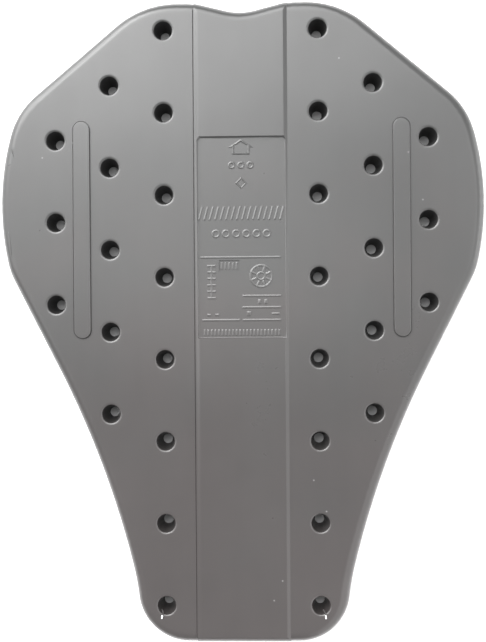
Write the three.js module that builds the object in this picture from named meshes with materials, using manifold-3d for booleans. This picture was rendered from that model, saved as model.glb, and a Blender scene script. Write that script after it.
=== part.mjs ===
import * as THREE from "three";
import { mergeVertices } from "three/addons/utils/BufferGeometryUtils.js";
import Module from "manifold-3d";

// Back protector insert: one slab of moulded foam that lies on its flat back face. The neck end
// points along +Y and the marked front face looks along +Z. The origin is the middle of the
// outline, on the back face. Sizes are in millimetres.

const LENGTH = 413; // from the neck end to the waist end
const WIDTH = 312.4; // across the shoulder blades
const THICKNESS = 16; // from the back face to the plain front face
const FRONT_ROUNDING = 7; // radius of the front edge
const BACK_ROUNDING = 2; // radius of the back edge

const SPINE_WIDTH = 60; // raised strip along the spine
const SPINE_SHIFT = 0.25; // how far the strip's middle lies right of the outline's
const SPINE_RISE = 1.2; // above the plain front face
const SPINE_EDGE = 3; // width of the strip's rounded shoulders

const HOLE_MOUTH = 11.7; // bore of a vent hole just under its lip
const HOLE_EXIT = 6.2; // bore at the back face
const LIP_WIDTH = 1.5; // rounded lip round the mouth
const LIP_FALL = 0.75; // from the front face down to the lip's inner edge
const FIRST_COLUMN = 49.6; // from the spine to the first column of holes
const COLUMN_PITCH = 35; // from column to column
const ROW_PITCH = 52.8; // from hole to hole in a column
const ROW_STAGGER = 35; // how much lower each column starts than the one inside it
const FIRST_ROW_INSET = 19; // from the neck end to the first hole
const HOLE_EDGE_CLEARANCE = 14; // least foam between a hole's centre and the outline

const PAD_PLACE = 102.6; // from the spine to the middle of each long raised pad
const PAD_WIDTH = 10.7;
const PAD_LENGTH = 139.5;
const PAD_RISE = 1.15;
const PAD_ROUNDING = 0.5; // radius of the pads' upper edges
const PAD_TOP_INSET = 77; // from the neck end to the pads' upper ends

const PANEL_WIDTH = 56.9; // sunken label panel in the spine strip
const PANEL_SHIFT = 0.4; // how far the panel's middle lies right of the spine
const PANEL_LENGTH = 129;
const PANEL_TOP_INSET = 87.9; // from the neck end to the panel's upper wall
const PANEL_DEPTH = 1.1; // below the top of the spine strip
const PANEL_CLIP = 1.6; // clipped upper corners

const MARK_RISE = 0.45; // raised marks on the panel's floor
const LINE = 1.5; // width of a raised line
const WINDOW_DEPTH = 0.7; // small sunken window in the panel's floor

const OVERRUN = 2; // how far a cutter runs past what it cuts
const ARC_STEPS = 3; // pairs of straight steps in each rounded corner
const ARC_GAP = 0.5; // least straight run between two rounded corners
const HOLE_SIDES = 16;
const RING_SIDES = 12;
const EDGE_STEPS = 4; // steps in a rounded edge

const spineTop = THICKNESS + SPINE_RISE;
const neckEnd = LENGTH / 2;
const panelTop = neckEnd - PANEL_TOP_INSET;
const panelFloor = spineTop - PANEL_DEPTH;

// Corners of the right-hand outline, from the neck dip round to the waist. Places are shares of
// half the width and half the length, and the rounding is a share of half the width.
const CORNERS = [
  { name: "neck dip", across: 0, along: 0.962, rounding: 0.25 },
  { name: "inner shoulder", across: 0.196, along: 1, rounding: 0.29 },
  { name: "outer shoulder", across: 0.407, along: 1, rounding: 0.385 },
  { name: "shoulder blade", across: 0.935, along: 0.665, rounding: 0.333 },
  { name: "widest side", across: 1.031, along: 0.392, rounding: 1.12 },
  { name: "rib", across: 0.967, along: 0.161, rounding: 0.308 },
  { name: "flank", across: 0.568, along: -0.434, rounding: 3.85 },
  { name: "waist", across: 0.445, along: -0.808, rounding: 1 },
  { name: "waist end", across: 0.4155, along: -1, rounding: 0.2125 },
];

const wasm = await Module();
wasm.setup();

function toSolid(geometry) {
  const bare = geometry.index ? geometry.toNonIndexed() : geometry.clone();
  bare.deleteAttribute("normal");
  bare.deleteAttribute("uv");
  const merged = mergeVertices(bare, 1e-4);
  return new wasm.Manifold(
    new wasm.Mesh({
      numProp: 3,
      vertProperties: merged.attributes.position.array,
      triVerts: new Uint32Array(merged.index.array),
    }),
  );
}

function toGeometry(solid) {
  const mesh = solid.getMesh();
  const geometry = new THREE.BufferGeometry();
  geometry.setAttribute("position", new THREE.BufferAttribute(mesh.vertProperties, 3));
  geometry.setIndex(new THREE.BufferAttribute(mesh.triVerts, 1));
  const faceted = geometry.toNonIndexed();
  faceted.computeVertexNormals();
  return faceted;
}

function joined(solids) {
  return solids.reduce((whole, solid) => whole.add(solid));
}

// A shape whose corners are rounded by tangent arcs. Each corner is { at, rounding }, and an arc
// is made smaller where its two sides are too short for it.
function roundedShape(corners) {
  const turns = corners.map(({ at, rounding }, i) => {
    const before = corners.at(i - 1).at.clone().sub(at);
    const after = corners[(i + 1) % corners.length].at.clone().sub(at);
    const half = Math.acos(before.dot(after) / (before.length() * after.length())) / 2;
    return { at, before, after, half, reach: rounding / Math.tan(half) };
  });
  const shape = new THREE.Shape();
  turns.forEach(({ at, before, after, half, reach }, i) => {
    const roomBefore = (before.length() - ARC_GAP) / (reach + turns.at(i - 1).reach);
    const roomAfter = (after.length() - ARC_GAP) / (reach + turns[(i + 1) % turns.length].reach);
    const fitted = reach * Math.min(1, roomBefore, roomAfter);
    const radius = fitted * Math.tan(half);
    const towards = before.clone().normalize().add(after.clone().normalize());
    const centre = towards.setLength(radius / Math.sin(half)).add(at);
    const start = before.clone().setLength(fitted).add(at).sub(centre);
    const end = after.clone().setLength(fitted).add(at).sub(centre);
    const clockwise = before.cross(after) > 0;
    shape.absarc(centre.x, centre.y, radius, start.angle(), end.angle(), clockwise);
  });
  return shape;
}

function outlineShape() {
  const right = CORNERS.map(({ across, along, rounding }) => ({
    at: new THREE.Vector2((across * WIDTH) / 2, (along * LENGTH) / 2),
    rounding: (rounding * WIDTH) / 2,
  }));
  const left = right.slice(1).map(({ at, rounding }) => ({
    at: new THREE.Vector2(-at.x, at.y),
    rounding,
  }));
  return roundedShape([...right, ...left.reverse()]);
}

function rectangle(width, height, x = 0, y = 0) {
  return new THREE.Shape([
    new THREE.Vector2(x - width / 2, y - height / 2),
    new THREE.Vector2(x + width / 2, y - height / 2),
    new THREE.Vector2(x + width / 2, y + height / 2),
    new THREE.Vector2(x - width / 2, y + height / 2),
  ]);
}

// A shape extruded from bottom to top, with its upper and lower edges rounded.
function prism(shape, bottom, top, rounding = 0, rise = rounding) {
  const geometry = new THREE.ExtrudeGeometry(shape, {
    depth: top - bottom - 2 * rise,
    bevelEnabled: rounding > 0,
    bevelSize: rounding,
    bevelOffset: -rounding,
    bevelThickness: rise,
    bevelSegments: EDGE_STEPS,
    curveSegments: ARC_STEPS,
  });
  geometry.translate(0, 0, bottom + rise);
  return toSolid(geometry);
}

// The slab up to a given height: its front edge has the large rounding and its back the small one.
function slab(outline, top) {
  const frontRounded = prism(outline, -top, top, FRONT_ROUNDING);
  const backRounded = prism(outline, 0, 2 * top, BACK_ROUNDING);
  return frontRounded.intersect(backRounded);
}

function spineStrip(outline) {
  const length = LENGTH + 2 * OVERRUN + 2 * SPINE_EDGE;
  const below = THICKNESS - 2 * SPINE_RISE;
  const shape = rectangle(SPINE_WIDTH, length, SPINE_SHIFT);
  const strip = prism(shape, below, spineTop, SPINE_EDGE, SPINE_RISE);
  return slab(outline, spineTop).intersect(strip);
}

function pads() {
  const straight = PAD_LENGTH / 2 - PAD_WIDTH / 2;
  const y = neckEnd - PAD_TOP_INSET - PAD_LENGTH / 2;
  return [-PAD_PLACE, PAD_PLACE].map((x) => {
    const shape = new THREE.Shape();
    shape.absarc(x, y + straight, PAD_WIDTH / 2, 0, Math.PI);
    shape.absarc(x, y - straight, PAD_WIDTH / 2, Math.PI, 2 * Math.PI);
    return prism(shape, THICKNESS - PAD_RISE, THICKNESS + PAD_RISE, PAD_ROUNDING);
  });
}

function distanceToOutline(points, place) {
  const nearest = new THREE.Vector3();
  const spot = new THREE.Vector3(place.x, place.y, 0);
  const distances = points.map((point, i) => {
    const next = points[(i + 1) % points.length];
    const side = new THREE.Line3(
      new THREE.Vector3(point.x, point.y, 0),
      new THREE.Vector3(next.x, next.y, 0),
    );
    side.closestPointToPoint(spot, true, nearest);
    return nearest.distanceTo(spot);
  });
  return Math.min(...distances);
}

function isInside(points, place) {
  let inside = false;
  points.forEach((point, i) => {
    const next = points[(i + 1) % points.length];
    const spans = point.y > place.y !== next.y > place.y;
    const share = (place.y - point.y) / (next.y - point.y);
    if (spans && place.x < point.x + share * (next.x - point.x)) inside = !inside;
  });
  return inside;
}

// Hole centres of the staggered lattice that keep their clearance to the outline.
function holePlaces(outline) {
  const points = outline.getPoints(ARC_STEPS);
  const places = [];
  for (let column = 0; FIRST_COLUMN + column * COLUMN_PITCH < WIDTH / 2; column++) {
    const x = FIRST_COLUMN + column * COLUMN_PITCH;
    const first = neckEnd - FIRST_ROW_INSET - column * ROW_STAGGER;
    for (let y = first; y > -LENGTH / 2; y -= ROW_PITCH) {
      for (const side of [-1, 1]) {
        const place = new THREE.Vector2(side * x, y);
        const clear = distanceToOutline(points, place) > HOLE_EDGE_CLEARANCE;
        if (clear && isInside(points, place)) places.push(place);
      }
    }
  }
  return places;
}

// A tapered vent hole with a rounded lip, as the cutter that leaves it.
function holeCutter({ x, y }) {
  const mouth = HOLE_MOUTH / 2;
  const exit = HOLE_EXIT / 2;
  const lip = [0, Math.PI / 4, Math.PI / 2].map(
    (turn) =>
      new THREE.Vector2(
        mouth + LIP_WIDTH * (1 - Math.cos(turn)),
        THICKNESS - LIP_FALL * (1 - Math.sin(turn)),
      ),
  );
  const profile = [
    new THREE.Vector2(0, -OVERRUN),
    new THREE.Vector2(exit, -OVERRUN),
    new THREE.Vector2(exit, 0),
    ...lip,
    new THREE.Vector2(mouth + LIP_WIDTH, THICKNESS + OVERRUN),
    new THREE.Vector2(0, THICKNESS + OVERRUN),
  ];
  const geometry = new THREE.LatheGeometry(profile, HOLE_SIDES);
  geometry.rotateX(Math.PI / 2);
  geometry.translate(x, y, 0);
  return toSolid(geometry);
}

function labelPanel() {
  const left = PANEL_SHIFT - PANEL_WIDTH / 2;
  const right = PANEL_SHIFT + PANEL_WIDTH / 2;
  const shape = new THREE.Shape([
    new THREE.Vector2(left, panelTop - PANEL_LENGTH),
    new THREE.Vector2(right, panelTop - PANEL_LENGTH),
    new THREE.Vector2(right, panelTop - PANEL_CLIP),
    new THREE.Vector2(right - PANEL_CLIP, panelTop),
    new THREE.Vector2(left + PANEL_CLIP, panelTop),
    new THREE.Vector2(left, panelTop - PANEL_CLIP),
  ]);
  return prism(shape, panelFloor, spineTop + OVERRUN);
}

// Marks on the panel's floor. Places and lengths across are shares of the panel's width from the
// spine, and those down are shares of its length from its upper wall. A slant is how far a bar
// leans to the right for its height.
const RULES = [
  { from: -0.465, to: 0.445, down: 0.598 },
  { from: 0.005, to: 0.445, down: 0.79 },
  { from: 0.005, to: 0.445, down: 0.847 },
  { from: -0.45, to: -0.02, down: 0.91 },
  { from: 0.005, to: 0.445, down: 0.91 },
];
const BLOCKS = [
  { across: 0.2, down: 0.819, width: 0.04, height: 0.024 },
  { across: 0.27, down: 0.819, width: 0.04, height: 0.024 },
  { across: 0.08, down: 0.879, width: 0.05, height: 0.024 },
  { across: 0.38, down: 0.879, width: 0.09, height: 0.012 },
  { across: -0.37, down: 0.884, width: 0.05, height: 0.0125 },
  { across: -0.28, down: 0.884, width: 0.05, height: 0.0125 },
];
const RING_ROWS = [
  { count: 3, down: 0.141, pitch: 0.105, size: 0.087, sides: RING_SIDES },
  { count: 1, down: 0.23, pitch: 0, size: 0.135, sides: 4 },
  { count: 6, down: 0.481, pitch: 0.115, size: 0.1, sides: RING_SIDES },
];
const BAR_ROWS = [
  { count: 16, down: 0.379, pitch: 0.061, width: 0.026, height: 0.068, slant: 0.27 },
  { count: 22, down: 0.972, pitch: 0.04, width: 0.025, height: 0.032, slant: 0 },
];
const ARROW = { tipDown: 0.011, shoulderDown: 0.053, footDown: 0.089, halfHead: 0.144, halfShaft: 0.1 };
const WINDOW = { across: -0.14, down: 0.64, width: 0.232, height: 0.056 };
const WINDOW_BARS = { count: 5, pitch: 0.042, width: 0.025, height: 0.036 };
const GAUGE = { across: -0.34, topDown: 0.64, footDown: 0.8, halfWidth: 0.05, ticks: 5 };
const DIAL = { across: 0.22, down: 0.692, size: 0.27, hub: 0.11, ticks: 8 };

const panelX = (share) => share * PANEL_WIDTH;
const panelY = (share) => panelTop - share * PANEL_LENGTH;

function mark(shape) {
  return prism(shape, panelFloor - MARK_RISE, panelFloor + MARK_RISE);
}

function bar(width, height, x, y) {
  return mark(rectangle(width, height, x, y));
}

function ring(size, x, y, sides) {
  const shape = new THREE.Shape();
  const inner = new THREE.Path();
  for (let i = 0; i < sides; i++) {
    const direction = new THREE.Vector2(1, 0).rotateAround(
      new THREE.Vector2(),
      (2 * Math.PI * i) / sides,
    );
    const outerPoint = direction.clone().multiplyScalar(size / 2);
    const innerPoint = direction.clone().multiplyScalar(size / 2 - LINE);
    const draw = i === 0 ? "moveTo" : "lineTo";
    shape[draw](x + outerPoint.x, y + outerPoint.y);
    inner[draw](x + innerPoint.x, y + innerPoint.y);
  }
  shape.holes.push(inner);
  return mark(shape);
}

// The head's sides slope, so a line of even width takes more from the head's width than from the
// shaft's, and a little more from the tip's height.
function arrowOutline() {
  const headHalf = panelX(ARROW.halfHead);
  const headHeight = (ARROW.shoulderDown - ARROW.tipDown) * PANEL_LENGTH;
  const slope = Math.hypot(headHalf, headHeight);
  const tipShare = slope / headHalf;
  const headShare = (slope + headHalf) / headHeight;
  const points = (inset) => {
    const head = headHalf - headShare * inset;
    const shaft = panelX(ARROW.halfShaft) - inset;
    const tip = panelY(ARROW.tipDown) - tipShare * inset;
    const shoulder = panelY(ARROW.shoulderDown) + inset;
    const foot = panelY(ARROW.footDown) + inset;
    const right = [
      [shaft, foot],
      [shaft, shoulder],
      [head, shoulder],
      [0, tip],
    ];
    const left = right.slice(0, 3).map(([x, y]) => [-x, y]);
    return [...right, ...left.reverse()].map(([x, y]) => new THREE.Vector2(x, y));
  };
  const shape = new THREE.Shape(points(0));
  shape.holes.push(new THREE.Path(points(LINE)));
  return mark(shape);
}

function rules() {
  return RULES.map(({ from, to, down }) =>
    bar(panelX(to - from), LINE, panelX((from + to) / 2), panelY(down)),
  );
}

function blocks() {
  return BLOCKS.map(({ across, down, width, height }) =>
    bar(panelX(width), height * PANEL_LENGTH, panelX(across), panelY(down)),
  );
}

function rowPlaces({ count, pitch }) {
  return Array.from({ length: count }, (_, i) => panelX((i - (count - 1) / 2) * pitch));
}

function ringRows() {
  return RING_ROWS.flatMap((row) =>
    rowPlaces(row).map((x) => ring(panelX(row.size), x, panelY(row.down), row.sides)),
  );
}

function barRows() {
  return BAR_ROWS.flatMap((row) =>
    rowPlaces(row).map((x) => {
      const height = row.height * PANEL_LENGTH;
      const points = rectangle(panelX(row.width), height).getPoints();
      const leaning = points.map(
        (point) => new THREE.Vector2(point.x + row.slant * point.y + x, point.y + panelY(row.down)),
      );
      return mark(new THREE.Shape(leaning));
    }),
  );
}

// An upright gauge line with short cross ticks.
function gauge() {
  const x = panelX(GAUGE.across);
  const top = panelY(GAUGE.topDown);
  const foot = panelY(GAUGE.footDown);
  const ticks = Array.from({ length: GAUGE.ticks + 1 }, (_, i) =>
    bar(panelX(2 * GAUGE.halfWidth), LINE, x, foot + ((top - foot) * i) / GAUGE.ticks),
  );
  return [bar(LINE, top - foot, x, (top + foot) / 2), ...ticks];
}

// A round dial with a ring of ticks, as moulds have for their date.
function dial() {
  const x = panelX(DIAL.across);
  const y = panelY(DIAL.down);
  const outer = panelX(DIAL.size);
  const hub = panelX(DIAL.hub);
  const tickLength = (outer - hub) / 2 + LINE / 2;
  const ticks = Array.from({ length: DIAL.ticks }, (_, i) => {
    const tick = rectangle(LINE, tickLength, 0, (outer + hub) / 4);
    const turned = tick.getPoints().map((point) =>
      point.rotateAround(new THREE.Vector2(), (2 * Math.PI * (i + 0.5)) / DIAL.ticks),
    );
    return mark(new THREE.Shape(turned.map((p) => new THREE.Vector2(p.x + x, p.y + y))));
  });
  return [ring(outer, x, y, RING_SIDES), ring(hub, x, y, RING_SIDES), ...ticks];
}

function sunkenWindow() {
  const { across, down, width, height } = WINDOW;
  const shape = rectangle(panelX(width), height * PANEL_LENGTH, panelX(across), panelY(down));
  return prism(shape, panelFloor - WINDOW_DEPTH, panelFloor + OVERRUN);
}

// Short bars that stand on the sunken window's floor.
function windowBars() {
  const { width, height } = WINDOW_BARS;
  const floor = panelFloor - WINDOW_DEPTH;
  return rowPlaces(WINDOW_BARS).map((x) => {
    const place = x + panelX(WINDOW.across);
    const shape = rectangle(panelX(width), height * PANEL_LENGTH, place, panelY(WINDOW.down));
    return prism(shape, floor - MARK_RISE, floor + MARK_RISE);
  });
}

function foamBody() {
  const outline = outlineShape();
  const raised = joined([slab(outline, THICKNESS), spineStrip(outline), ...pads()]);
  const cut = raised.subtract(joined([labelPanel(), ...holePlaces(outline).map(holeCutter)]));
  const marks = [
    arrowOutline(),
    ...rules(),
    ...blocks(),
    ...ringRows(),
    ...barRows(),
    ...gauge(),
    ...dial(),
    ...windowBars(),
  ];
  return joined([cut.subtract(sunkenWindow()), ...marks]);
}

const foam = new THREE.MeshStandardMaterial({
  color: 0x383839,
  roughness: 0.42,
  metalness: 0,
});

const insert = new THREE.Group();
const body = new THREE.Mesh(toGeometry(foamBody()), foam);
body.name = "foam_body";
insert.add(body);

export default insert;
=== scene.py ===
import math

import bmesh
import bpy
from mathutils import Matrix, Vector, noise
from mathutils.kdtree import KDTree


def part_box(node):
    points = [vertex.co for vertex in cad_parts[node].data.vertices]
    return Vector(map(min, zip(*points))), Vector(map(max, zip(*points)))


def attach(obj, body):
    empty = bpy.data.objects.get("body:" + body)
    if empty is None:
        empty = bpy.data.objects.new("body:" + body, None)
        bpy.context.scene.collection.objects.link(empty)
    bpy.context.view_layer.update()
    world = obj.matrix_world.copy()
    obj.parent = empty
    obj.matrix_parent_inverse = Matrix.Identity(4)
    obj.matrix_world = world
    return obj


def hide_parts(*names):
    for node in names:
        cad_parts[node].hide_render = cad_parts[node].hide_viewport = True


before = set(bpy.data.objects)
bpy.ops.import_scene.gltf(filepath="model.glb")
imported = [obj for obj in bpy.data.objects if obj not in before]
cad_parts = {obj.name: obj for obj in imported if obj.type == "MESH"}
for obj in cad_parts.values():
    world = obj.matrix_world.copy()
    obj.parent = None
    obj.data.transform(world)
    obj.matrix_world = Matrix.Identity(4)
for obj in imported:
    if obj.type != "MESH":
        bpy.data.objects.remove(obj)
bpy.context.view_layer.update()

# The slab. The real insert is one piece of dense viscoelastic foam, poured into a shallow steel
# mould that gives it a smooth satin skin. The mould rounds the front edge generously and the
# back edge hardly at all, and the neck end dips between the shoulders.

low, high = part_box("foam_body")
half_width = (high.x - low.x) / 2
half_length = (high.y - low.y) / 2
neck_end = high.y
spine_top = high.z
spine_rise = 0.0012
front_face = spine_top - spine_rise
back_face = low.z

front_rounding = 0.007
back_rounding = 0.002
front_steps = 10
back_steps = 3
outline_step = 0.0028
arc_gap = 0.0005
sharp_turn = 0.5
tolerance = 1e-6

# Corners of the right-hand outline, as shares of half the width and half the length. The
# rounding is a share of half the width.
corners = [
    dict(name="neck dip", across=0, along=0.962, rounding=0.25),
    dict(name="inner shoulder", across=0.196, along=1, rounding=0.29),
    dict(name="outer shoulder", across=0.407, along=1, rounding=0.385),
    dict(name="shoulder blade", across=0.935, along=0.665, rounding=0.333),
    dict(name="widest side", across=1.031, along=0.392, rounding=1.12),
    dict(name="rib", across=0.967, along=0.161, rounding=0.308),
    dict(name="flank", across=0.568, along=-0.434, rounding=3.85),
    dict(name="waist", across=0.445, along=-0.808, rounding=1),
    dict(name="waist end", across=0.4155, along=-1, rounding=0.2125),
]


def rounded_corner(bm, at, to_last, to_next, reach, half):
    """Spins one corner's arc from its first point, and returns its first and last vertex."""
    radius = reach * math.tan(half)
    inwards = (to_last.normalized() + to_next.normalized()).normalized()
    first = bm.verts.new(at + to_last.normalized() * reach)
    turn = math.copysign(math.pi - 2 * half, to_next.cross(to_last).z)
    spun = bmesh.ops.spin(
        bm,
        geom=[first],
        cent=at + inwards * radius / math.sin(half),
        axis=(0, 0, 1),
        dvec=(0, 0, 0),
        angle=turn,
        steps=max(2, round(radius * abs(turn) / outline_step)),
    )
    return first, spun["geom_last"][0]


def outline_face(bm):
    """The slab's outline as one flat face, with a tangent arc at each corner."""
    right = [
        (Vector((c["across"] * half_width, c["along"] * half_length, 0)), c["rounding"] * half_width)
        for c in corners
    ]
    left = [(Vector((-at.x, at.y, 0)), rounding) for at, rounding in right[:0:-1]]
    places = right + left
    turns = []
    for i, (at, rounding) in enumerate(places):
        to_last = places[i - 1][0] - at
        to_next = places[(i + 1) % len(places)][0] - at
        half = to_last.angle(to_next) / 2
        turns.append((at, to_last, to_next, half, rounding / math.tan(half)))
    ends = []
    for i, (at, to_last, to_next, half, reach) in enumerate(turns):
        room_last = (to_last.length - arc_gap) / (reach + turns[i - 1][4])
        room_next = (to_next.length - arc_gap) / (reach + turns[(i + 1) % len(turns)][4])
        fitted = reach * min(1, room_last, room_next)
        ends.append(rounded_corner(bm, at, to_last, to_next, fitted, half))
    for i, (first, last) in enumerate(ends):
        bm.edges.new((ends[i - 1][1], first))
    return bmesh.ops.contextual_create(bm, geom=bm.edges[:])["faces"][0]


def raise_faces(bm, faces, height):
    """Extrudes flat faces upwards into a closed block, and returns its upper vertices."""
    edges = list({e for f in faces for e in f.edges})
    grown = bmesh.ops.extrude_face_region(bm, geom=faces + edges)["geom"]
    upper = [v for v in grown if isinstance(v, bmesh.types.BMVert)]
    bmesh.ops.translate(bm, verts=upper, vec=(0, 0, height))
    bmesh.ops.recalc_face_normals(bm, faces=bm.faces[:])
    return upper


def round_rim(bm, height, radius, segments):
    """Rounds the rims that lie at one height."""
    bm.normal_update()
    level = {v for v in bm.verts if abs(v.co.z - height) < tolerance}
    rim = [e for e in bm.edges if set(e.verts) <= level and e.calc_face_angle() > sharp_turn]
    bmesh.ops.bevel(
        bm,
        geom=rim,
        offset=radius,
        offset_type="OFFSET",
        affect="EDGES",
        segments=segments,
        profile=0.5,
        material=-1,
    )


def slab(top):
    """The whole slab up to one height, with its rounded front and back edges."""
    bm = bmesh.new()
    raise_faces(bm, [outline_face(bm)], top)
    round_rim(bm, top, front_rounding, front_steps)
    round_rim(bm, 0, back_rounding, back_steps)
    return bm


def as_object(name, bm):
    """Finishes a bmesh as an object in the scene."""
    bmesh.ops.remove_doubles(bm, verts=bm.verts[:], dist=tolerance)
    bmesh.ops.recalc_face_normals(bm, faces=bm.faces[:])
    mesh = bpy.data.meshes.new(name)
    bm.to_mesh(mesh)
    bm.free()
    made = bpy.data.objects.new(name, mesh)
    bpy.context.scene.collection.objects.link(made)
    return made


def combine(base, tool, operation):
    """Joins or cuts one solid with another, and keeps only the result."""
    change = base.modifiers.new("combine", "BOOLEAN")
    change.operation = operation
    change.solver = "MANIFOLD"
    change.object = tool
    seen = base.evaluated_get(bpy.context.evaluated_depsgraph_get())
    result = bpy.data.meshes.new_from_object(seen)
    base.modifiers.clear()
    base.data = result
    bpy.data.objects.remove(tool)


foam = as_object("foam_insert", slab(front_face))

# The spine strip. A flat band along the spine stands a little above the face, moulded in one
# with the slab, with a soft shoulder on the right and a sharper one on the left. It runs out over
# both rounded ends, and it gets flatter below the label panel.

spine_width = 0.060
spine_shift = 0.00025
spine_edge = 0.003
spine_steps = 12
spine_bedding = 0.00003
left_fall_share = 0.35
spine_bend = -0.012
bend_share = 0.85
waist_share = 0.5
overrun = 0.004
strip_length = 2 * (half_length + overrun)


def block(bm, width, length, bottom, top, x=0, y=0, turn=0):
    """A plain block between two heights, turned about its middle."""
    place = Matrix.Translation((x, y, (bottom + top) / 2)) @ Matrix.Rotation(turn, 4, "Z")
    size = Matrix.Diagonal((width, length, top - bottom, 1))
    return bmesh.ops.create_cube(bm, size=1, matrix=place @ size)["verts"]


def shape_shoulders(bm):
    """Bends the strip's rounded rims into S-shaped shoulders that run down to the face."""
    for v in bm.verts:
        if v.co.z > spine_top - spine_edge - tolerance:
            out = math.sqrt(max(0, 1 - (1 - (spine_top - v.co.z) / spine_edge) ** 2))
            fall = (spine_rise + spine_bedding) * (left_fall_share if v.co.x < 0 else 1)
            v.co.z = spine_top - fall * out * out * (3 - 2 * out)


def cut_across(bm, axis, distance):
    """Adds edges where a plane crosses the mesh."""
    bmesh.ops.bisect_plane(
        bm,
        geom=bm.verts[:] + bm.edges[:] + bm.faces[:],
        dist=tolerance,
        plane_co=axis * distance,
        plane_no=axis,
    )


def flatten_waist(bm):
    """Lowers the strip from its bend towards its waist end."""
    cut_across(bm, Vector((0, 1, 0)), spine_bend)
    for v in bm.verts:
        if v.co.z > front_face and v.co.y < spine_bend + tolerance:
            share = bend_share if v.co.y > spine_bend - tolerance else waist_share
            v.co.z = front_face + (v.co.z - front_face) * share


strip_body = bmesh.new()
block(strip_body, spine_width, strip_length, front_face / 2, spine_top, spine_shift)
round_rim(strip_body, spine_top, spine_edge, spine_steps)
shape_shoulders(strip_body)
flatten_waist(strip_body)
strip = as_object("strip", slab(spine_top))
combine(strip, as_object("strip_body", strip_body), "INTERSECT")
combine(foam, strip, "UNION")

# The mould's inlay leaves a fine V-shaped seam along the strip's left foot. It is widest at the
# neck end.
seam_width = 0.0011
seam_depth = 0.0006
seam_floor_share = 0.1
seam_waist_share = 0.4

seam = bmesh.new()
seam_place = spine_shift - (spine_width + seam_width) / 2
for v in block(seam, seam_width, strip_length, front_face - seam_depth, front_face + seam_depth, seam_place):
    share = (seam_floor_share if v.co.z < front_face else 1) * (seam_waist_share if v.co.y < 0 else 1)
    v.co.x = seam_place + (v.co.x - seam_place) * share
combine(foam, as_object("seam", seam), "DIFFERENCE")

# The two long pads. Narrow raised bars with round ends, moulded in one with the slab, that lie
# between the two outer columns of vent holes. A fine seam runs round each.

pad_place = 0.1026
pad_width = 0.0107
pad_length = 0.1395
pad_rise = 0.00115
pad_rounding = 0.0005
pad_steps = 4
pad_top_inset = 0.077
pad_sides = 40
pad_seam_width = 0.0005
pad_seam_depth = 0.0005


def pad_blocks(width, depth):
    """Both pads at one width, from a depth below the face up to their tops."""
    bm = bmesh.new()
    for side in (-1, 1):
        y = neck_end - pad_top_inset - pad_length / 2
        half_side = math.pi / pad_sides
        place = Matrix.Translation((side * pad_place, y, front_face - depth))
        disc = bmesh.ops.create_circle(
            bm,
            cap_ends=True,
            segments=pad_sides,
            radius=width / 2 / math.cos(half_side),
            matrix=place @ Matrix.Rotation(half_side, 4, "Z"),
        )["verts"]
        for v in disc:
            v.co.y += math.copysign((pad_length - pad_width) / 2, v.co.y - y)
        raise_faces(bm, disc[0].link_faces[:], depth + pad_rise)
    return bm


pad_seams = pad_blocks(pad_width + 2 * pad_seam_width, pad_seam_depth)
combine(foam, as_object("pad_seams", pad_seams), "DIFFERENCE")
pads = pad_blocks(pad_width, pad_rise)
round_rim(pads, front_face + pad_rise, pad_rounding, pad_steps)
combine(foam, as_object("pads", pads), "UNION")

# The vent holes. Staggered rows of round tapered holes go right through the slab. Each is wide
# at the front, with a soft lip, and narrow at the back, as the mould's pins are.

hole_mouth = 0.0117
hole_exit = 0.0062
lip_width = 0.0015
lip_fall = 0.00075
lip_steps = 6
first_column = 0.0496
column_pitch = 0.035
row_pitch = 0.0528
row_stagger = 0.035
first_row_inset = 0.019
hole_edge_clearance = 0.014
hole_sides = 48


def depth_inside(points, place):
    """How far a place lies inside a closed outline, or a negative distance outside it."""
    nearest = math.inf
    inside = False
    for i, point in enumerate(points):
        last = points[i - 1]
        side = point - last
        share = max(0, min(1, (place - last).dot(side) / side.length_squared))
        nearest = min(nearest, (last + side * share - place).length)
        if (last.y > place.y) != (point.y > place.y):
            if place.x < last.x + (place.y - last.y) / side.y * side.x:
                inside = not inside
    return nearest if inside else -nearest


def hole_places():
    """The points of the staggered lattice that keep the clearance to the outline."""
    bm = bmesh.new()
    points = [v.co.copy() for v in outline_face(bm).verts]
    bm.free()
    places = []
    column = 0
    while first_column + column * column_pitch < half_width:
        y = neck_end - first_row_inset - column * row_stagger
        while y > -half_length:
            for side in (-1, 1):
                place = Vector((side * (first_column + column * column_pitch), y, 0))
                if depth_inside(points, place) > hole_edge_clearance:
                    places.append(place)
            y -= row_pitch
        column += 1
    return places


def hole_cutter(bm, place):
    """One tapered hole with its lip, spun from its profile."""
    lip_start = bm.verts.new((hole_mouth / 2, 0, front_face - lip_width))
    lip = bmesh.ops.spin(
        bm,
        geom=[lip_start],
        cent=(hole_mouth / 2 + lip_width, 0, front_face - lip_width),
        axis=(0, 1, 0),
        dvec=(0, 0, 0),
        angle=math.pi / 2,
        steps=lip_steps,
    )
    lip_end = lip["geom_last"][0]
    edges = list({e for v in bm.verts if v.is_wire for e in v.link_edges})
    for v in {v for e in edges for v in e.verts}:
        v.co.z = front_face + (v.co.z - front_face) * lip_fall / lip_width
    below = [(hole_exit / 2, 0, 0), (hole_exit / 2, 0, -overrun), (0, 0, -overrun)]
    above = [(lip_end.co.x, 0, front_face + overrun), (0, 0, front_face + overrun)]
    for start, run in ((lip_start, below), (lip_end, above)):
        for point in run:
            vert = bm.verts.new(point)
            edges.append(bm.edges.new((start, vert)))
            start = vert
    profile = list({v for e in edges for v in e.verts})
    bmesh.ops.translate(bm, verts=profile, vec=place)
    bmesh.ops.spin(
        bm,
        geom=profile + edges,
        cent=place,
        axis=(0, 0, 1),
        dvec=(0, 0, 0),
        angle=2 * math.pi,
        steps=hole_sides,
        use_merge=True,
    )


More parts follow.
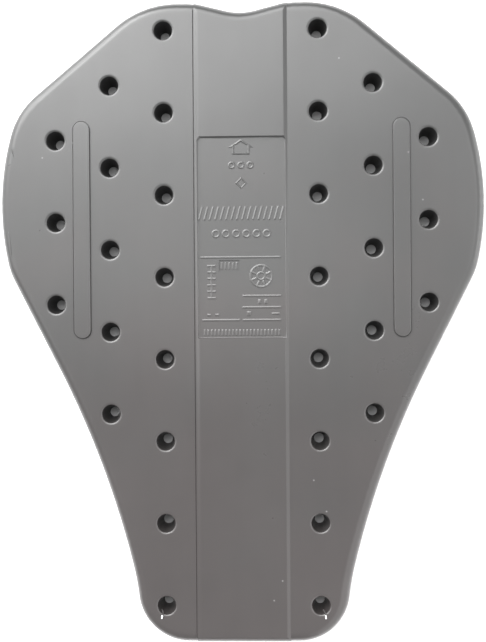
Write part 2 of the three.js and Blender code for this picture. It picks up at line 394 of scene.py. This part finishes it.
vent_places = hole_places()
holes = bmesh.new()
for place in vent_places:
    hole_cutter(holes, place)
combine(foam, as_object("holes", holes), "DIFFERENCE")

# The label panel. A long shallow window in the spine strip, sunk by a raised plate in the mould.
# Its walls slope in a soft curve, and its two upper corners are clipped.

panel_width = 0.0569
panel_shift = 0.0004
panel_length = 0.129
panel_top_inset = 0.0879
panel_depth = 0.0011
panel_clip = 0.0016
panel_slope = 0.0013

# The wall's profile from foot to rim, and on above it. Places out are shares of the slope's
# width from its middle, and heights are shares of the panel's depth.
wall = [
    dict(out=-0.5, height=0),
    dict(out=-0.32, height=0.07),
    dict(out=-0.15, height=0.25),
    dict(out=0, height=0.5),
    dict(out=0.15, height=0.75),
    dict(out=0.32, height=0.93),
    dict(out=0.5, height=1),
    dict(out=0.85, height=1.14),
    dict(out=0.95, height=2),
]

panel_top = neck_end - panel_top_inset
panel_floor = spine_top - panel_depth
panel_middle = panel_top - panel_length / 2

panel = bmesh.new()
plate = bmesh.ops.create_grid(
    panel,
    x_segments=1,
    y_segments=1,
    size=0.5,
    matrix=Matrix.Translation((panel_shift, panel_middle, panel_floor))
    @ Matrix.Diagonal((panel_width - panel_slope, panel_length - panel_slope, 1, 1)),
)["verts"]
bmesh.ops.bevel(
    panel,
    geom=[v for v in plate if v.co.y > panel_middle],
    offset=panel_clip,
    offset_type="OFFSET",
    affect="VERTICES",
    segments=1,
    profile=0.5,
    material=-1,
)
top_face = panel.faces[:]
for last, point in zip(wall, wall[1:]):
    grown = (point["out"] - last["out"]) * panel_slope
    upper = raise_faces(panel, top_face, (point["height"] - last["height"]) * panel_depth)
    for v in upper:
        v.co.x += math.copysign(grown, v.co.x - panel_shift)
        v.co.y += math.copysign(grown, v.co.y - panel_middle)
    top_face = [f for f in panel.faces if set(upper).issuperset(f.verts)]
combine(foam, as_object("panel", panel), "DIFFERENCE")

# The marks on the panel. Fine raised lines cut into the mould's plate: an arrow to the neck end,
# rules, rows of rings and bars, a gauge and a mould's date dial, with a small sunken window.
# Places and sizes are shares of the panel's width from the spine and of its length from its top.

mark_rise = 0.00045
line = 0.0015
mark_slope = 0.00065
mark_fall = 0.0003
window_depth = 0.0007
ring_sides = 32

rules = [
    dict(start=-0.465, end=0.445, down=0.598),
    dict(start=0.005, end=0.445, down=0.79),
    dict(start=0.005, end=0.445, down=0.847),
    dict(start=-0.45, end=-0.02, down=0.91),
    dict(start=0.005, end=0.445, down=0.91),
]
blocks = [
    dict(across=0.2, down=0.819, width=0.04, height=0.024),
    dict(across=0.27, down=0.819, width=0.04, height=0.024),
    dict(across=0.08, down=0.879, width=0.05, height=0.024),
    dict(across=0.38, down=0.879, width=0.09, height=0.012),
    dict(across=-0.37, down=0.884, width=0.05, height=0.0125),
    dict(across=-0.28, down=0.884, width=0.05, height=0.0125),
]
ring_rows = [
    dict(count=3, down=0.141, pitch=0.105, size=0.087, sides=ring_sides),
    dict(count=1, down=0.23, pitch=0, size=0.135, sides=4),
    dict(count=6, down=0.481, pitch=0.115, size=0.1, sides=ring_sides),
]
bar_rows = [
    dict(count=16, down=0.379, pitch=0.061, width=0.026, height=0.068, slant=0.27),
    dict(count=22, down=0.972, pitch=0.04, width=0.025, height=0.032, slant=0),
]
arrow = dict(tip=0.011, shoulder=0.053, foot=0.089, half_head=0.144, half_shaft=0.1)
window = dict(across=-0.14, down=0.64, width=0.232, height=0.056)
window_bars = dict(count=5, pitch=0.042, width=0.025, height=0.036)
gauge = dict(across=-0.34, top=0.64, foot=0.8, half_width=0.05, ticks=5)
dial = dict(across=0.22, down=0.692, size=0.27, hub=0.11, ticks=8)

mark_bottom = panel_floor - mark_rise
mark_top = panel_floor + mark_rise


def down(share):
    """The height on the panel of a share of its length from its top."""
    return panel_top - share * panel_length


def ease_rim(bm, height):
    """Gives the rims at one height a flat chamfer that is wider than it is high."""
    round_rim(bm, height, mark_slope, 1)
    for v in bm.verts:
        if v.co.z > height - mark_slope - tolerance:
            v.co.z = height + (v.co.z - height) * mark_fall / mark_slope


def bar(bm, width, height, x, y, turn=0):
    """One raised bar on the panel's floor."""
    return block(bm, width, height, mark_bottom, mark_top, x, y, turn)


def ring(bm, size, x, y, sides=ring_sides):
    """One raised ring, spun from its square section."""
    inner = size / 2 - line
    section = [
        bm.verts.new((x + radius, y, z))
        for radius, z in (
            (inner, mark_bottom),
            (inner, mark_top),
            (inner + line, mark_top),
            (inner + line, mark_bottom),
        )
    ]
    edges = [bm.edges.new((section[i - 1], section[i])) for i in range(len(section))]
    bmesh.ops.spin(
        bm,
        geom=section + edges,
        cent=(x, y, 0),
        axis=(0, 0, 1),
        dvec=(0, 0, 0),
        angle=2 * math.pi,
        steps=sides,
        use_merge=True,
    )


def arrow_outline(bm):
    """The outline of an arrow, inset from its outer corners."""
    head = arrow["half_head"] * panel_width
    shaft = arrow["half_shaft"] * panel_width
    shoulder = down(arrow["shoulder"])
    foot = down(arrow["foot"])
    right = [(shaft, foot), (shaft, shoulder), (head, shoulder)]
    left = [(-x, y) for x, y in reversed(right)]
    points = right + [(0, down(arrow["tip"]))] + left
    face = bm.faces.new([bm.verts.new((x, y, mark_bottom)) for x, y in points])
    bm.normal_update()
    rim = bmesh.ops.inset_region(
        bm, faces=[face], thickness=line, use_even_offset=True, use_boundary=True
    )["faces"]
    bmesh.ops.delete(bm, geom=[face], context="FACES_ONLY")
    upper = set(raise_faces(bm, rim, mark_top - mark_fall - mark_bottom))
    bm.normal_update()
    bmesh.ops.inset_region(
        bm,
        faces=[f for f in bm.faces if upper.issuperset(f.verts)],
        thickness=mark_slope,
        depth=mark_fall,
        use_even_offset=True,
    )


def row_places(row):
    """The places across of a row of like marks."""
    middle = (row["count"] - 1) / 2
    return [(i - middle) * row["pitch"] * panel_width for i in range(row["count"])]


pointer = bmesh.new()
arrow_outline(pointer)

marks = bmesh.new()
for rule in rules:
    width = (rule["end"] - rule["start"]) * panel_width
    x = (rule["start"] + rule["end"]) / 2 * panel_width
    bar(marks, width, line, x, down(rule["down"]))
for mark in blocks:
    width = mark["width"] * panel_width
    height = mark["height"] * panel_length
    bar(marks, width, height, mark["across"] * panel_width, down(mark["down"]))
for row in ring_rows:
    for x in row_places(row):
        ring(marks, row["size"] * panel_width, x, down(row["down"]), row["sides"])
for row in bar_rows:
    for x in row_places(row):
        y = down(row["down"])
        for v in bar(marks, row["width"] * panel_width, row["height"] * panel_length, x, y):
            v.co.x += row["slant"] * (v.co.y - y)

gauge_x = gauge["across"] * panel_width
gauge_top = down(gauge["top"])
gauge_foot = down(gauge["foot"])
for i in range(gauge["ticks"] + 1):
    y = gauge_foot + (gauge_top - gauge_foot) * i / gauge["ticks"]
    bar(marks, 2 * gauge["half_width"] * panel_width, line, gauge_x, y)

dial_x = dial["across"] * panel_width
dial_y = down(dial["down"])
dial_radius = dial["size"] * panel_width / 2
hub_radius = dial["hub"] * panel_width / 2
ring(marks, 2 * dial_radius, dial_x, dial_y)
ring(marks, 2 * hub_radius, dial_x, dial_y)

crossing = bmesh.new()
bar(crossing, line, gauge_top - gauge_foot, gauge_x, (gauge_top + gauge_foot) / 2)
for i in range(dial["ticks"]):
    turn = 2 * math.pi * (i + 0.5) / dial["ticks"]
    middle = Matrix.Rotation(turn, 3, "Z") @ Vector((0, (dial_radius + hub_radius) / 2, 0))
    length = dial_radius - hub_radius
    bar(crossing, line, length, dial_x + middle.x, dial_y + middle.y, turn)

window_x = window["across"] * panel_width
window_y = down(window["down"])
window_floor = panel_floor - window_depth
sunk = bmesh.new()
block(
    sunk,
    window["width"] * panel_width,
    window["height"] * panel_length,
    window_floor,
    panel_floor + window_depth,
    window_x,
    window_y,
)
combine(foam, as_object("sunk", sunk), "DIFFERENCE")

in_window = bmesh.new()
for x in row_places(window_bars):
    block(
        in_window,
        window_bars["width"] * panel_width,
        window_bars["height"] * panel_length,
        window_floor - mark_rise,
        window_floor + mark_rise,
        window_x + x,
        window_y,
    )
ease_rim(in_window, window_floor + mark_rise)

for layer in (marks, crossing):
    ease_rim(layer, mark_top)
for layer in (pointer, marks, crossing, in_window):
    combine(foam, as_object("raised", layer), "UNION")

# Moulding faults. Two threads of foam hang from the lip of each of the two lowest vent holes, where
# the mould's pins were sealed with a drop of resin. A low ridge of flash and a fine crease run along
# the left edge.

threads = [
    dict(x=-0.0527, y=-0.1893, width=0.0015, length=0.0034, height=0.0008, turn=-0.2),
    dict(x=-0.0522, y=-0.1862, width=0.0008, length=0.0040, height=0.0004, turn=0.25),
    dict(x=0.0524, y=-0.1893, width=0.0015, length=0.0034, height=0.0008, turn=0.12),
    dict(x=0.0518, y=-0.1865, width=0.0008, length=0.0050, height=0.0005, turn=0.45),
]
flash = dict(x=-0.1493, y=0.0519, width=0.0013, length=0.0170, height=0.0004, turn=0.1, sink=0.0003)
crease = dict(x=-0.1475, y=0.1113, width=0.0011, length=0.0090, height=0.00045, turn=0.3, sink=0.0002)


def sliver(x, y, width, length, height, turn, sink=0):
    """A long flat drop with its middle at the front face, or sunk a little below it."""
    bm = bmesh.new()
    place = Matrix.Translation((x, y, front_face - sink)) @ Matrix.Rotation(turn, 4, "Z")
    size = Matrix.Diagonal((width / 2, length / 2, height, 1))
    bmesh.ops.create_uvsphere(bm, u_segments=24, v_segments=12, radius=1, matrix=place @ size)
    return as_object("fault", bm)


for fault in threads + [flash]:
    combine(foam, sliver(**fault), "UNION")
combine(foam, sliver(**crease), "DIFFERENCE")

# The skin's unevenness. Foam shrinks a little as it cures, so the front face isn't quite flat.
# The large faces are cut into a grid, and their points are moved by a smooth noise.

skin_step = 0.006
unevenness = 0.00008
wave = 0.055

body = bmesh.new()
body.from_mesh(foam.data)
for axis, reach in ((Vector((1, 0, 0)), half_width), (Vector((0, 1, 0)), half_length)):
    count = int(reach / skin_step)
    for i in range(-count, count + 1):
        cut_across(body, axis, i * skin_step)
for v in body.verts:
    share = max(0, v.co.z / front_face) ** 2
    spot = Vector((v.co.x, v.co.y, 0)) / wave
    v.co.z += unevenness * share * noise.noise(spot)
bmesh.ops.triangulate(body, faces=body.faces[:])
body.to_mesh(foam.data)
body.free()

# The skin's look. The cured skin is nearly black and satin. It is a little blotchy where the mould was waxed
# by hand, and dust and a few pale nicks show on it. Its colour also holds painted light: a lighter patch in
# the middle of the face, a painted highlight on two threads, and painted shade in the holes.


class Link:
    """A socket of a material's nodes that takes part in ordinary expressions."""

    def __init__(self, tree, socket=None):
        self.tree = tree
        self.socket = socket

    def node(self, kind, settings=None, output=0, **sockets):
        """Adds a node, sets it, and then gives its sockets their values or links."""
        made = self.tree.nodes.new(kind)
        for name, value in (settings or {}).items():
            setattr(made, name, value)
        for name, value in sockets.items():
            target = made.inputs[int(name[1:]) if name[1:].isdigit() else name.replace("_", " ")]
            if isinstance(value, Link):
                self.tree.links.new(value.socket, target)
            else:
                target.default_value = value
        return Link(self.tree, made.outputs[output])

    def math(self, operation, first, second):
        return self.node("ShaderNodeMath", {"operation": operation}, i0=first, i1=second)

    def __add__(self, other):
        return self.math("ADD", self, other)

    def __sub__(self, other):
        return self.math("SUBTRACT", self, other)

    def __rsub__(self, other):
        return self.math("SUBTRACT", other, self)

    def __mul__(self, other):
        return self.math("MULTIPLY", self, other)

    __radd__ = __add__

    def steps(self, start, end):
        """Rises smoothly from 0 to 1 between two values."""
        return self.node(
            "ShaderNodeMapRange",
            {"interpolation_type": "SMOOTHSTEP"},
            Value=self,
            From_Min=start,
            From_Max=end,
        )


# Painted shade: the holes' walls are darker in colour, and less so near the waist. They are also duller,
# cured against the mould's pins.
bore_painted_shade = 0.7
bore_dullness = 0.3
waist_fade = 0.7
bore_reach = hole_mouth / 2 + lip_width / 10

axes = KDTree(len(vent_places))
for i, place in enumerate(vent_places):
    axes.insert(place, i)
axes.balance()
in_bore = []
for v in foam.data.vertices:
    nearest, _, distance = axes.find((v.co.x, v.co.y, 0))
    inside = distance < bore_reach
    in_bore.append(inside * (1 + waist_fade * min(0, nearest.y / half_length)))
bores = foam.data.attributes.new("bore", "FLOAT", "POINT")
bores.data.foreach_set("value", in_bore)

skin = bpy.data.materials.new("satin_foam_skin")
skin.use_nodes = True
skin_shader = skin.node_tree.nodes["Principled BSDF"]
nodes = Link(skin.node_tree)
spot = nodes.node("ShaderNodeTexCoord", output="Object")


def cloud(scale, detail, stretch=(1, 1, 1)):
    """Soft noise about zero."""
    place = nodes.node("ShaderNodeVectorMath", {"operation": "MULTIPLY"}, i0=spot, i1=stretch)
    noise_value = nodes.node("ShaderNodeTexNoise", Vector=place, Scale=scale, Detail=detail)
    return noise_value - 0.5


def near(x, y, reach, soft, flatten=(1, 1, 0)):
    """A mask that is 1 near a place on the front face."""
    flat = nodes.node("ShaderNodeVectorMath", {"operation": "MULTIPLY"}, i0=spot, i1=flatten)
    away = nodes.node(
        "ShaderNodeVectorMath", {"operation": "DISTANCE"}, output="Value", i0=flat, i1=(x, y, 0)
    )
    return away.steps(reach, reach * (1 - soft))


pale_nicks = [
    dict(x=-0.1280, y=0.1066),
    dict(x=-0.1082, y=0.1160),
    dict(x=0.0632, y=0.1682),
    dict(x=0.1068, y=0.1074),
    dict(x=0.1160, y=0.0772),
    dict(x=0.0453, y=-0.1017),
    dict(x=0.0533, y=-0.1217),
    dict(x=0.0249, y=-0.1660),
    dict(x=0.0194, y=-0.1786),
]
nick_reach = 0.0008
nick_strength = 0.12
painted_gleam_step = 0.0007
painted_gleam_reach = 0.00065
# Where and how strongly a broad patch of painted light lightens the colour.
painted_light_place = 0.03
painted_light_reach = 0.1
satin_roughness = 0.285
painted_light_strength = 0.5
blotch_strength = 0.35
streak_strength = 0.1
waist_tint = (0.0385, 0.0345, 0.0340, 1)
neck_tint = (0.0310, 0.0313, 0.0310, 1)
pale_nick_and_gleam_colour = (0.8, 0.8, 0.8, 1)

blotches = cloud(14, 2) * 0.7 + cloud(45, 3) * 0.45
streaks = cloud(30, 2, (4, 0.35, 1))
# Painted light: the colour is made lighter over a broad patch in the middle of the face.
painted_light_patch = near(0, painted_light_place, painted_light_reach, 1, (0.55, 1, 0))
tone = 1 + blotches * blotch_strength + streaks * streak_strength + painted_light_patch * painted_light_strength

# Painted highlight: the longer thread at each hole has its colour made pale along its length, and its
# roughness lowered.
painted_gleam = 0
for thread in threads[::2]:
    for step in (-painted_gleam_step, 0, painted_gleam_step):
        x = thread["x"] - step * thread["turn"]
        painted_gleam = painted_gleam + near(x, thread["y"] + step, painted_gleam_reach, 0.6)
nicks_and_painted_gleam = painted_gleam
for nick in pale_nicks:
    nicks_and_painted_gleam = nicks_and_painted_gleam + near(nick["x"], nick["y"], nick_reach, 0.8) * nick_strength

along = nodes.node("ShaderNodeSeparateXYZ", output="Y", Vector=spot)
tint = nodes.node(
    "ShaderNodeMix",
    {"data_type": "RGBA"},
    output=2,
    Factor=(along + cloud(22, 1) * 0.25).steps(-0.2, 0.15),
    i6=waist_tint,
    i7=neck_tint,
)
bore = nodes.node("ShaderNodeAttribute", {"attribute_name": "bore"}, output="Fac")
# The painted shade darkens the colour inside the holes.
shade = tone * (1 - bore * bore_painted_shade)
toned = nodes.node("ShaderNodeVectorMath", {"operation": "SCALE"}, i0=tint, Scale=shade)
# The pale colour paints both the nicks and the highlight on the threads.
paled = nodes.node(
    "ShaderNodeMix", {"data_type": "RGBA"}, output=2, Factor=nicks_and_painted_gleam, i6=toned, i7=pale_nick_and_gleam_colour
)
skin.node_tree.links.new(paled.socket, skin_shader.inputs["Base Color"])
satin = satin_roughness - blotches * 0.05 + cloud(160, 2) * 0.02 - painted_gleam * 0.15 + bore * bore_dullness
skin.node_tree.links.new(satin.socket, skin_shader.inputs["Roughness"])

smooth_limit = 26
foam.data.materials.clear()
foam.data.materials.append(skin)
for polygon in foam.data.polygons:
    polygon.use_smooth = True
foam.data.set_sharp_from_angle(angle=math.radians(smooth_limit))
weighted = foam.modifiers.new("even_shading", "WEIGHTED_NORMAL")
weighted.keep_sharp = True

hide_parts("foam_body")
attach(foam, "root")

# The floor, a wide sheet of plain white paper that the insert lies on.

floor_size = 6
floor_gap = 0.0001
paper_grey = 0.85
shaded_grey = 0.33
paper_roughness = 0.9


def paper(name, grey):
    """A plain matt paper of one grey."""
    made = bpy.data.materials.new(name)
    made.use_nodes = True
    shader = made.node_tree.nodes["Principled BSDF"]
    shader.inputs["Base Color"].default_value = (grey, grey, grey, 1)
    shader.inputs["Roughness"].default_value = paper_roughness
    return made


floor_body = bmesh.new()
bmesh.ops.create_grid(floor_body, x_segments=1, y_segments=1, size=floor_size / 2)
bmesh.ops.translate(floor_body, verts=floor_body.verts[:], vec=(0, 0, back_face - 2 * floor_gap))
floor = as_object("floor", floor_body)
floor.data.materials.append(paper("white_paper", paper_grey))

# Less light reaches the paper under the insert, so a darker sheet, smaller than the insert, lies
# there and shows only through the vent holes.
shade_share = 0.96
shade_body = bmesh.new()
outline_face(shade_body)
bmesh.ops.scale(shade_body, verts=shade_body.verts[:], vec=(shade_share, shade_share, 1))
bmesh.ops.translate(shade_body, verts=shade_body.verts[:], vec=(0, 0, back_face - floor_gap))
shade_sheet = as_object("shade_sheet", shade_body)
shade_sheet.data.materials.append(paper("shaded_paper", shaded_grey))

# Round soft lights stand far off: one above the neck end, two that overlap on its left, two dim
# ones low on the right, and a small one high on the right, like a white card. A spread is half the
# angle that a light fills, in degrees.

lights = [
    dict(name="neck_light", zenith=36, azimuth=100, spread=24, radiance=7.1),
    dict(name="window_light", zenith=58, azimuth=134, spread=22, radiance=7.2),
    dict(name="left_light", zenith=52, azimuth=147, spread=38, radiance=2.9),
    dict(name="right_light", zenith=71, azimuth=-26, spread=46, radiance=1.6),
    dict(name="side_light", zenith=88, azimuth=6, spread=22, radiance=2.8),
    dict(name="card_light", zenith=28, azimuth=23, spread=12, radiance=2.8),
]
light_distance = 3


def soft_light(name, zenith, azimuth, spread, radiance):
    """A round soft light of an even brightness, aimed at the insert."""
    light = bpy.data.lights.new(name, "AREA")
    light.shape = "DISK"
    light.size = 2 * light_distance * math.tan(math.radians(spread))
    light.energy = radiance * math.pi * math.pi * light.size**2 / 4
    made = bpy.data.objects.new(name, light)
    bpy.context.scene.collection.objects.link(made)
    turn = Matrix.Rotation(math.radians(azimuth), 3, "Z") @ Matrix.Rotation(math.radians(zenith), 3, "Y")
    made.location = turn @ Vector((0, 0, light_distance))
    made.rotation_euler = (-made.location).to_track_quat("-Z", "Y").to_euler()


for light in lights:
    soft_light(**light)

room_brightness = 0.85
world = bpy.data.worlds.new("room")
world.use_nodes = True
world.node_tree.nodes["Background"].inputs["Color"].default_value = (
    room_brightness,
    room_brightness,
    room_brightness,
    1,
)
bpy.context.scene.world = world

bpy.context.scene.view_settings.view_transform = "Standard"

# The camera looks almost straight down from 0.6 m, at the photo's angle.

lens = bpy.data.cameras.new("photo_camera")
lens.sensor_width = 36
lens.lens = 52.06
lens.clip_start = 0.01
camera = bpy.data.objects.new("photo_camera", lens)
bpy.context.scene.collection.objects.link(camera)
eye = Vector((0.01619, 0.00167, 0.6110))
aim = Vector((0.00067, 0.00056, 0.016))
roll = math.radians(-0.408)
forward = (aim - eye).normalized()
level = forward.cross(Vector((0, 1, 0))).normalized()
upright = level.cross(forward)
right = level * math.cos(roll) + upright * math.sin(roll)
above = upright * math.cos(roll) - level * math.sin(roll)
camera.rotation_euler = Matrix((right, above, -forward)).transposed().to_euler()
camera.location = eye
bpy.context.scene.camera = camera
